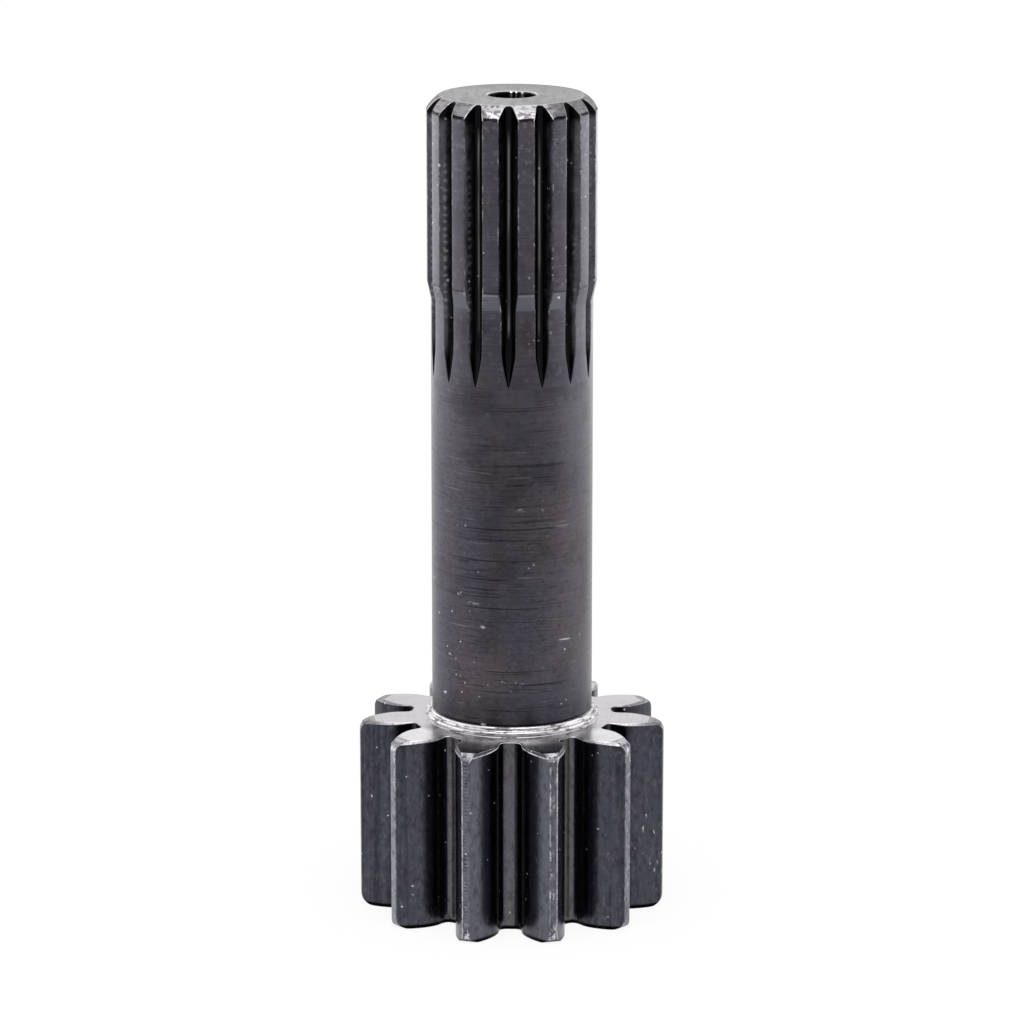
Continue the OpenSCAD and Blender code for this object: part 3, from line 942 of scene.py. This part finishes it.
def paintPinionSteel(g, place):
    x, y, z = g.split(place)
    depth, wear, milled, across, brink = (g.attribute(name) for name in plainMarks)
    aside, forward = x.magnitude(), -1 * y
    front = frontTeeth(x, y)
    second = aside.climb("secondAside") * forward.climb("secondForward")
    outer = aside.climb("outerTeeth")
    streaks, threads, grain, speckle = g.noises(place, "streaks", "threads", "grain", "speckle")
    clouds, slow = g.noises(place, "clouds", "slow")
    clumps = g.noise(place, "clumps").climb(0.46, 0.60)
    mottles = g.noise(place, "mottles")

    # Flanks, with a paler ragged strip along the root as a painted highlight, and painted shade in the roots
    # of the side spaces and beside the front root
    ragged = across * (1 - 0.42 * aside.climb(0.008, 0.010)) + (speckle - 0.5) * 0.9
    strip = ragged.fall("rootStrip") * (threads.climb(0.30, 0.60) * 0.6 + 0.4)
    flank = g.layered(
        g.blend(clouds.climb(0.35, 0.65) * 0.4, finish["pinionFlank"], finish["brown"]),
        (streaks.fall(0.35, 0.55) * 0.45, "black"),
        (grain.climb(0.55, 0.75) * 0.25, "dull"),
        ((second * 0.25).larger(outer * 0.22), "black"),
        (aside.climb("darkAside") * depth.climb("darkDepth") * 0.9, "black"),
        (forward.climb("paleForward") * depth.fall("paleDepth") * 0.5, "pinionTip"),
        (strip * (1 - x.window("rootGap")), "root"),
        (x.window("rootShade") * forward.climb(0.020, 0.022) * 0.85, "black"),
    )

    rubbed = speckle.climb(0.50, 0.60) * clumps * (0.35 + 0.4 * front * z.fall(0.008, 0.026))
    land = g.layered(
        g.blend(grain.climb(0.40, 0.70) * 0.5, finish["pinionLand"], finish["landGrain"]),
        # painted sheen on the lands of the second teeth at the sides
        (second * (0.40 + 0.25 * x.fall(-0.01, 0.01)), "secondLandSheen"),
        (second * speckle.climb(0.50, 0.62) * z.climb(0.030, 0.042) * 0.7, "bare"),
        (rubbed * front.larger(second), "bare"),
    )

    # Bevels along the upper edge: bare all round, and on the front teeth left dark as painted shade but for a
    # bright lip
    leftOne = front * x.fall(-0.0008, 0.0008)
    ticks = g.maths("SINE", z * (2 * math.pi / g.look["tickPitch"]) + slow * 9).climb(0.25, 0.75)
    ticks = ticks * x.window("tickPlace") * leftOne * (1 - milled)
    edge = milled * brink.fall(-0.08, 0.06) * (1 - front)
    lip = (brink - 0.02).magnitude().fall(0.03, 0.16) * slow.climb(0.30, 0.50) * front
    tone = g.layered(
        g.blend(milled, land, flank),
        (leftOne * (1 - milled) * 0.6, "pinionTip"),
        (ticks * (0.25 + 0.65 * clumps), "black"),
        (mottles.fall(0.36, 0.50) * 0.40, "black"),
        (mottles.climb(0.56, 0.68) * 0.10, "dull"),
        (edge, "dull"),
        (edge * speckle.climb(0.42, 0.70) * 0.6 * (1 - outer * 0.6), "bare"),
        (edge * speckle.fall(0.28, 0.42) * 0.8, "black"),
    )

    # Wear: edges of the lands, their upper rounds, the front teeth's feet, and flecks on the right far flank
    inner = x.climb("innerEdge") * leftOne
    worn = wear * speckle.climb(0.44, 0.58) * (0.3 + 0.7 * clumps.larger(slow.climb(0.50, 0.62)))
    worn = worn * (0.35 + 0.6 * front) * (1 - inner) * (0.55 + 0.45 * z.climb(0.030, 0.044))
    worn = worn * (1 - y.climb(-0.022, 0.0) * 0.8)
    line = front * aside.climb("outerLine") * wear * (0.25 + 0.4 * speckle.climb(0.42, 0.54))
    top = z.climb("upperRound") * (1 - milled) * wear
    strokes = g.noise(place, "strokes").climb(0.42, 0.50)
    onTop = strokes * (0.55 + 0.2 * front) + 0.05 + 0.6 * front * z.climb("upperLip")
    worn = worn.larger(top * onTop * (1 - outer * 0.55)).larger(line * (1 - top))
    foot = front * (1 - milled) * z.fall("foot") * mottles.climb(0.46, 0.54)
    flecks = spots(g, g.mapped(shaken(g, place, 900, 0.0010), (1.3, 1.3, 0.5)), "flecks")
    flecks = flecks * x.climb("flecksAside") * z.window("flecksHeight")
    dots = spots(g, shaken(g, place, 1300, 0.0009), "dots") * 0.6
    bright = dots.larger(worn).larger(lip * 0.8).larger(foot * 0.7).larger(flecks * 0.55)
    tone = g.layered(
        tone,
        # painted shade on the upper rounds of the front teeth
        (top * front * (1 - strokes) * 0.6, "black"),
        (bright * z.climb(0.0008, 0.0016), "burrAndHighlight"),
        # painted shade along the lower edge, where it meets the floor
        (z.fall("underShade"), "underShade"),
    )
    addSurface(g, {
        "Base Color": tone,
        "Metallic": 1 - bright * 0.6,
        "Roughness": 0.24 + (grain - 0.5) * 0.2 + bright * 0.2,
        "Normal": g.bump(grain, 0.00002, 0.35),
    })


turnedLook = {
    "lines": (3800, 60),  # waves per metre outwards, and along x and y
    "dashes": (2600, 330),
    "stains": (1, 4, 0.65, (150, 260, 200)),
    "ground": (1, 3, 0.7, (420, 120, 1)),  # grinding marks on the end face
    "upperFace": (0.020, 0.030),  # heights that part the pinion's upper face from its lower one
    "endFace": (0.1, 0.11),
    "collar": (0.0213, 0.0218),  # reach of the collars
    "besideCollar": (0.0220, 0.0240),
    # where the face in front of the collar mirrors the shaft
    "shaftMirrorReach": (0.0225, 0.0265),
    "endBack": (0.004, 0.016),  # darker, as painted shade
    "endRight": (-0.004, 0.012),
    "endBehind": (0.006, 0.012),  # darker rim, as painted shade
    "endBackRim": (0.0160, 0.0172),
    "endRim": (0.0166, 0.0176),
    "boreReach": (0.0062, 0.0065),  # bright rim of the bore
    "boreHeight": (0.2026, 0.20285),
    "secondForward": (0.008, 0.014),
    "secondAside": (0.0185, 0.0215),
    "toothShade": (0.0312, 0.0338),  # reach of the painted shade on the ends of the front teeth
    "toothRim": (0.0342, 0.0345),
}


# Lathe lines round the axis: noise read by the distance from it
def paintTurnedSteel(g, place):
    x, y, z = g.split(place)
    milled, brink = g.attribute("milled"), g.attribute("brink")
    forward = -1 * y
    reach = g.maths("SQRT", x * x + y * y)
    end = z.climb("endFace")
    upper = z.climb("upperFace") * (1 - end)
    face = reach.climb("collar") * upper
    out, along = g.look["lines"]
    lines = g.noise(g.combine(reach * out, x * along, y * along), 1, 3, 0.6)
    out, along = g.look["dashes"]
    dashes = g.noise(g.combine((reach + z) * out, x * along, y * along), 1, 3, 0.6)
    stains, ground = g.noises(place, "stains", "ground")
    second = x.magnitude().climb("secondAside") * forward.climb("secondForward")
    collar = reach.fall("collar") * upper

    # Painted dark reflection of the shaft in a ring beside the collar and on the face in front of it, and
    # painted shade on the tops and ends of the front teeth
    near = (1 - reach.climb("collar") * forward.fall(0.006, 0.012)) * upper
    near = near * reach.fall("besideCollar")
    shaftMirror = face * reach.fall("shaftMirrorReach") * forward.climb(0.008, 0.013)
    front = frontTeeth(x, y) * face
    shade = reach.climb("toothShade") * front * (0.50 + 0.35 * stains.climb(0.40, 0.60))
    rim = reach.climb("toothRim") * stains.climb(0.35, 0.50) * 0.6
    tone = g.layered(
        g.blend(end * 0.62, finish["bare"], finish["dull"]),
        # painted shade on the back and right of the end face, and on its rim behind
        (end * y.climb("endBack") * 0.65, "stainAndShade"),
        (end * (0.12 + 0.16 * x.climb("endRight")), "stainAndShade"),
        (end * y.climb("endBehind") * reach.climb("endBackRim") * 0.5, "stainAndShade"),
        # painted highlight on the tops of the second teeth at the sides
        (second * 0.85 * upper, "burrAndHighlight"),
        (end * ground.climb(0.44, 0.64) * 0.80, "stainAndShade"),
        (lines.climb(0.50, 0.80) * (0.25 - end * 0.1), "stainAndShade"),
        (stains.climb(0.45, 0.70) * (0.12 + end * 0.25), "stainAndShade"),
        # the collars are polished metal with a painted highlight on them
        (collar * 0.9, "burrAndHighlight"),
        (near * dashes.fall(0.40, 0.50) * 0.85, "darkReflection"),
        (shaftMirror * (0.45 + 0.55 * dashes.climb(0.42, 0.54)) * 0.9, "darkReflection"),
        # painted shade on the tops of the front teeth
        (front * (stains.climb(0.35, 0.65) * 0.4 + 0.35), "stainAndShade"),
        # painted highlight along the front of the end face's rim
        (reach.climb("endRim") * end * forward.climb(-0.004, 0.006) * 0.6, "burrAndHighlight"),
        (reach.fall("boreReach") * end * z.climb("boreHeight"), "burrAndHighlight"),
        # the front teeth's bevels painted dark like the flanks, as painted shade
        (milled * brink.climb(-0.35, -0.25) * front, "pinionFlank"),
        (shade.larger(rim) * face * (1 - milled), "darkReflection"),
    )
    addSurface(g, {
        "Base Color": tone,
        "Metallic": 1.0,
        "Roughness": 0.15 + lines * 0.10,
        "Normal": g.bump(lines, 0.00002, 0.4),
    })


chamferLook = {
    "lines": (1, 3, 0.65, (130, 130, 2600)),
    "streaks": (1, 3, 0.6, (260, 260, 1500)),
    "burrs": (420, 3, 0.65),
    "patches": (170, 2, 0.5),
    "blots": (560, 3, 0.7, (1, 1, 0.6)),
    "sides": (0.0065, 0.0125),
    "right": (-0.002, 0.002),
    "upperPart": (0.2014, 0.2026),
    "foot": (0.20015, 0.20035),  # black and ragged up to here
    "raggedness": 0.0012,
}


# Battered all over, with painted shade at the sides, more at the right, so that it is brightest low at the
# front
def paintChamferSteel(g, place):
    x, _, z = g.split(place)
    milled, wear = g.attribute("milled"), g.attribute("wear")
    lines, streaks, burrs = g.noises(place, "lines", "streaks", "burrs")
    patches, blots = g.noises(place, "patches", "blots")
    sides = x.magnitude().climb("sides")
    right = x.climb("right")
    upper = z.climb("upperPart")
    low = (1 - upper) * (1 - sides)
    lowWhite = low * blots.climb(0.50, 0.58) * 0.85
    upperWhite = upper * (1 - sides) * blots.climb(0.42, 0.52) * 0.8
    white = streaks.climb(0.42, 0.50) * lowWhite.larger(upperWhite)
    ragged = z + (burrs - 0.5) * g.look["raggedness"]
    edges = wear * burrs.climb(0.30, 0.45) * (0.35 + 0.65 * patches.climb(0.40, 0.55))
    tone = g.layered(
        g.blend(burrs.climb(0.38, 0.56), finish["dull"], finish["bare"]),
        (lines.climb(0.51, 0.57) * (0.35 + 0.25 * upper), "stainAndShade"),
        (patches.climb(0.50, 0.62) * 0.4 * upper, "stainAndShade"),
        # painted shade at the sides
        (sides * right * 0.65, "stainAndShade"),
        (sides * (1 - right) * 0.40, "stainAndShade"),
        (low * (1 - blots.climb(0.44, 0.56) * 0.75) * 0.85, "stainAndShade"),
        (white, "burrAndHighlight"),
        (ragged.fall("foot"), "black"),
        (milled, "black"),
        (edges, "burrAndHighlight"),
    )
    addSurface(g, {
        "Base Color": tone,
        "Metallic": 1 - edges.larger(white * (1 - milled)) * 0.5,
        "Roughness": 0.24 + lines * 0.12,
        "Normal": g.bump(burrs * 0.7 + lines * 0.3, 0.00012, 0.7),
    })


boreLook = {
    "drawn": (1, 2, 0.6, (420, 420, 15)),
    "back": (0, 0.002),
    "streaks": ((-0.3, 0.35), (0.95, 0.25), (2.4, 0.4)),  # places and half widths in mm of the painted bright streaks of reflection
}


# Painted dark, as shade inside the bore, but for a few painted bright streaks of reflection along its back
def paintBoreSteel(g, place):
    x, y, _ = g.split(shaken(g, place, 500, 0.0003))
    drawn = g.noise(place, "drawn")
    tone = g.blend(drawn.climb(0.50, 0.66) * 0.5, finish["boreShade"], finish["stainAndShade"])
    for middle, width in g.look["streaks"]:
        streak = (x - middle * mm).magnitude().fall(width * 0.4 * mm, width * mm)
        tone = g.layered(tone, (streak * y.climb("back"), "burrAndHighlight"))
    addSurface(g, {"Base Color": tone, "Metallic": 1.0, "Roughness": 0.22 + drawn * 0.1})


steels = {
    "shaftSteel": (paintShaftSteel, shaftLook),
    "splineSteel": (paintSplineSteel, splineLook),
    "pinionSteel": (paintPinionSteel, pinionLook),
    "turnedSteel": (paintTurnedSteel, turnedLook),
    "chamferSteel": (paintChamferSteel, chamferLook),
    "boreSteel": (paintBoreSteel, boreLook),
}
stack, bottomPole, topPole = buildForging()
shaft = meshFromRings("splined_pinion_shaft", stack, bottomPole, topPole)
for name, (paint, look) in steels.items():
    material, g = newMaterial(name, look)
    paint(g, g.objectPlace())
    shaft.data.materials.append(material)
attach(shaft, "root")
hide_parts("drive_shaft")
print("forging built:", len(stack.places), "rings,", 2 * columnCount * len(stack.places), "triangles")


# Studio: white all round, brightest low at the sides, with a lamp high in front. The pairs are parts of the
# direction along x, y or z between which a level changes.
studio = {
    "front": 0.62,
    "side": 2.0,
    "horizon": 0.62,  # low at the back
    "back": 1.0,
    "above": 0.70,  # share that is left overhead
    "lamp": 1.5,
    "lampHeight": 55,  # degrees
    "lampEdge": (0.76, 0.94),  # cosines of the angle from its middle
    "frontToBack": (-0.9, 0.2),
    "horizonEdge": (0.12, 0.30),
    "sideEdge": (0.45, 0.95),
    "sideTop": (0.15, 0.45),
    "aboveEdge": (0.30, 0.65),
}


def lightStudio():
    world = bpy.data.worlds.new("studio")
    scene.world = world
    world.use_nodes = True
    g = Graph(world.node_tree, studio)
    x, y, z = g.split(g.add("ShaderNodeTexCoord").out("Generated"))
    s = studio
    back = s["horizon"] + (s["back"] - s["horizon"]) * z.climb("horizonEdge")
    level = s["front"] + (back - s["front"]) * y.climb("frontToBack")
    level = level + (s["side"] - s["back"]) * x.magnitude().climb("sideEdge") * z.fall("sideTop")
    level = level * (1 - (1 - s["above"]) * z.climb("aboveEdge"))
    lift = math.radians(s["lampHeight"])
    towards = z * math.sin(lift) - y * math.cos(lift)
    level = level + s["lamp"] * towards.climb("lampEdge")
    seen = g.add("ShaderNodeLightPath").out("Is Camera Ray")
    strength = seen + (1 - seen) * level
    background = g.add("ShaderNodeBackground", {}, {"Color": (1, 1, 1, 1), "Strength": strength})
    g.add("ShaderNodeOutputWorld", {}, {"Surface": background.out("Background")})


# Floor: pale, with the shaft's faint shadow. Lengths are in metres, and pairs are distances from the shaft.
floorPlane = {
    "halfWidth": 4.0,
    "front": -1.5,
    "back": 6.0,
    "height": -0.00003,
    "far": 0.42,  # level of the far floor in front, as the shaft mirrors it
    "farFrom": (0.14, 0.32),
    "brighterFrom": (0.6, 1.4),
    "brighterBy": 0.5,  # share of that darkness that goes again
    "sides": 1.2,  # what the far floor at the sides and behind has more
    "sidesFrom": (0.45, 0.95),
    "sidesTurn": (-0.6, 0.7),  # sine of the direction, from the front to the back
    "seenLift": 0.05,  # keeps the floor that the camera sees white
    "plain": 0.85,  # share of plain white in it, and the rest takes the shadow
}


def addFloor():
    f = floorPlane
    mesh = bpy.data.meshes.new("floor")
    wide, front, back = f["halfWidth"], f["front"], f["back"]
    corners = [(-wide, front), (wide, front), (wide, back), (-wide, back)]
    mesh.from_pydata([(*corner, f["height"]) for corner in corners], [], [(0, 1, 2, 3)])
    floor = bpy.data.objects.new("floor", mesh)
    scene.collection.objects.link(floor)
    material, g = newMaterial("paleFloor", f)
    x, y, _ = g.split(g.objectPlace())
    path = g.add("ShaderNodeLightPath")
    camera, glossy = path.out("Is Camera Ray"), path.out("Is Glossy Ray")
    white = camera.larger(glossy).larger(path.out("Is Transmission Ray"))
    forward = -1 * y
    dimmer = forward.climb("farFrom") * (1 - forward.climb("brighterFrom") * f["brighterBy"])
    reach = g.maths("SQRT", x * x + y * y)  # at least 0.01 below, where it divides
    sides = reach.climb("sidesFrom") * (y / reach.larger(0.01)).climb("sidesTurn")
    level = 1 - glossy * dimmer * (1 - f["far"]) + glossy * sides * f["sides"] + camera * f["seenLift"]
    diffuse = g.add("ShaderNodeBsdfDiffuse", {}, {"Color": (0.8, 0.8, 0.8, 1)})
    shine = g.add("ShaderNodeEmission", {}, {"Color": (1, 1, 1, 1), "Strength": level})
    shaders = {0: white * f["plain"], 1: diffuse.out("BSDF"), 2: shine.out("Emission")}
    both = g.add("ShaderNodeMixShader", {}, shaders)
    g.add("ShaderNodeOutputMaterial", {}, {"Surface": both.out("Shader")})
    mesh.materials.append(material)


lightStudio()
addFloor()
print("studio lit")
